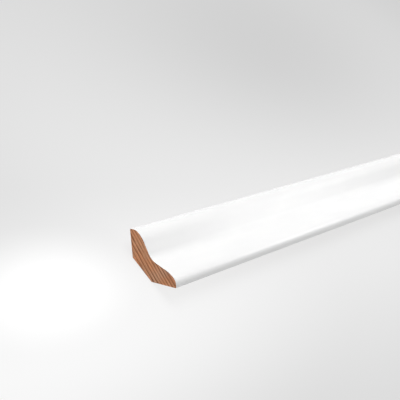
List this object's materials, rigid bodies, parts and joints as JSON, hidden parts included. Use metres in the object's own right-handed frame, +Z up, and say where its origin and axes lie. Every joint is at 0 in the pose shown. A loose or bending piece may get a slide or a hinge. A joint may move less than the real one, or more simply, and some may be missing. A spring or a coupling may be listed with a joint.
{
  "type": "scotia moulding",
  "caption": "Long strip of corner moulding with a concave scotia face between two rounded noses, a chamfered back and two slightly undercut backs, white coated with bare sawn ends.",
  "frame": {"origin": "middle of the strip's length, in the centre of its chamfered underside", "axes": "+X along the strip, +Y towards the leg that goes against the wall, +Z up, out of the middle of the hollow face"},
  "size_m": [2.4, 0.0308, 0.0094],
  "materials": {
    "white_coated_wood": "smooth white satin coat on the moulded face and the lands, bare reddish-brown wood on the sawn ends and the planed back"
  },
  "bodies": {
    "root": {"scotia_strip": "white_coated_wood"}
  },
  "joints": []
}
